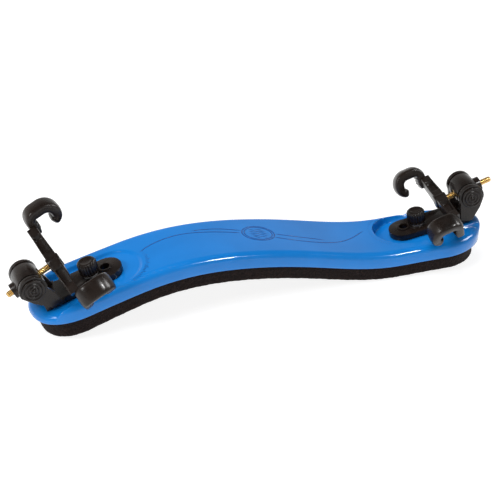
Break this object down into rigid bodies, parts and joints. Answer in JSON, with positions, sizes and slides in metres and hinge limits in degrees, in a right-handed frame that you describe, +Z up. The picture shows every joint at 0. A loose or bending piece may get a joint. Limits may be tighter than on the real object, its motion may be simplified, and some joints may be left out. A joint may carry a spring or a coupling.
{
  "type": "violin shoulder rest",
  "caption": "Curved S-shaped shoulder rest for a violin, with a foam pad beneath and a folding, turning, height-adjustable fork with rubber claws at each end.",
  "frame": {"origin": "under the middle of the whole object's box, on the surface that the foam pad rests on", "axes": "+X along the body towards the end that turns up, +Y away from the concave near edge's side, +Z up"},
  "size_m": [0.2564, 0.07, 0.0565],
  "materials": {
    "blue_plastic": "glossy moulded",
    "foam": "fine-celled foam, matte",
    "black_plastic": "satin moulded",
    "claw_rubber": "smooth, slightly shiny",
    "brass": "machined thread",
    "steel": "zinc plated",
    "nylon": "black nylon"
  },
  "bodies": {
    "body": {"body_shell": "blue_plastic", "foam_pad": "foam"},
    "left_bracket": {"left_bracket": "black_plastic", "left_clamp_bolt": "steel", "left_near_pivot_plug": "black_plastic", "left_far_pivot_plug": "black_plastic", "left_near_pivot_washer": "nylon", "left_far_pivot_washer": "nylon"},
    "left_washer": {"left_knob_washer": "steel"},
    "left_knob": {"left_thumb_knob": "black_plastic", "left_knob_insert": "brass"},
    "left_barrel": {"left_pivot_barrel": "black_plastic", "left_barrel_bush": "brass"},
    "left_shank": {"left_shank": "brass"},
    "left_fork": {"left_yoke": "black_plastic", "left_near_claw_sleeve": "claw_rubber", "left_far_claw_sleeve": "claw_rubber"},
    "right_bracket": {"right_bracket": "black_plastic", "right_clamp_bolt": "steel", "right_near_pivot_plug": "black_plastic", "right_far_pivot_plug": "black_plastic", "right_near_pivot_washer": "nylon", "right_far_pivot_washer": "nylon"},
    "right_washer": {"right_knob_washer": "steel"},
    "right_knob": {"right_thumb_knob": "black_plastic", "right_knob_insert": "brass"},
    "right_barrel": {"right_pivot_barrel": "black_plastic", "right_barrel_bush": "brass"},
    "right_shank": {"right_shank": "brass"},
    "right_fork": {"right_yoke": "black_plastic", "right_near_claw_sleeve": "claw_rubber", "right_far_claw_sleeve": "claw_rubber"}
  },
  "joints": [
    {"name": "left_width", "type": "slide", "parent": "body", "child": "left_bracket", "axis": [-0.9621, -0.1229, -0.2434], "range_m": [-0.006, 0.009]},
    {"name": "left_knob_lift", "type": "slide", "parent": "left_bracket", "child": "left_washer", "axis": [-0.2415, -0.0308, 0.9699], "range_m": [0, 0.0016]},
    {"name": "left_knob_turn", "type": "hinge", "parent": "left_washer", "child": "left_knob", "pos_m": [-0.08633, -0.00186, 0.02087], "axis": [-0.2415, -0.0308, 0.9699], "range_deg": [0, 780]},
    {"name": "left_fold", "type": "hinge", "parent": "left_bracket", "child": "left_barrel", "pos_m": [-0.11721, -0.0058, 0.02863], "axis": [0.1267, -0.9919, 0], "range_deg": [0, 92]},
    {"name": "left_height", "type": "slide", "parent": "left_barrel", "child": "left_shank", "axis": [0.8909, 0.1138, 0.4398], "range_m": [-0.003, 0.008]},
    {"name": "left_fork_turn", "type": "hinge", "parent": "left_shank", "child": "left_fork", "pos_m": [-0.10384, -0.00409, 0.03523], "axis": [0.8909, 0.1138, 0.4398], "range_deg": [-40, 0]},
    {"name": "right_width", "type": "slide", "parent": "body", "child": "right_bracket", "axis": [0.9706, -0.1118, 0.2134], "range_m": [-0.006, 0.009]},
    {"name": "right_knob_lift", "type": "slide", "parent": "right_bracket", "child": "right_washer", "axis": [-0.212, 0.0244, 0.977], "range_m": [0, 0.0016]},
    {"name": "right_knob_turn", "type": "hinge", "parent": "right_washer", "child": "right_knob", "pos_m": [0.08982, 0.00275, 0.01565], "axis": [-0.212, 0.0244, 0.977], "range_deg": [0, 780]},
    {"name": "right_fold", "type": "hinge", "parent": "right_bracket", "child": "right_barrel", "pos_m": [0.11408, -0.00005, 0.03644], "axis": [0.1144, 0.9934, 0], "range_deg": [0, 100]},
    {"name": "right_height", "type": "slide", "parent": "right_barrel", "child": "right_shank", "axis": [-0.9316, 0.1073, -0.3473], "range_m": [-0.002, 0.004]},
    {"name": "right_fork_turn", "type": "hinge", "parent": "right_shank", "child": "right_fork", "pos_m": [0.10104, 0.00145, 0.03158], "axis": [-0.9316, 0.1073, -0.3473], "range_deg": [-3, 8]}
  ],
  "couplings": [
    {"joint": "left_knob_turn", "follows": "left_knob_lift", "rad_per_m": 7854},
    {"joint": "right_knob_turn", "follows": "right_knob_lift", "rad_per_m": 7854}
  ]
}
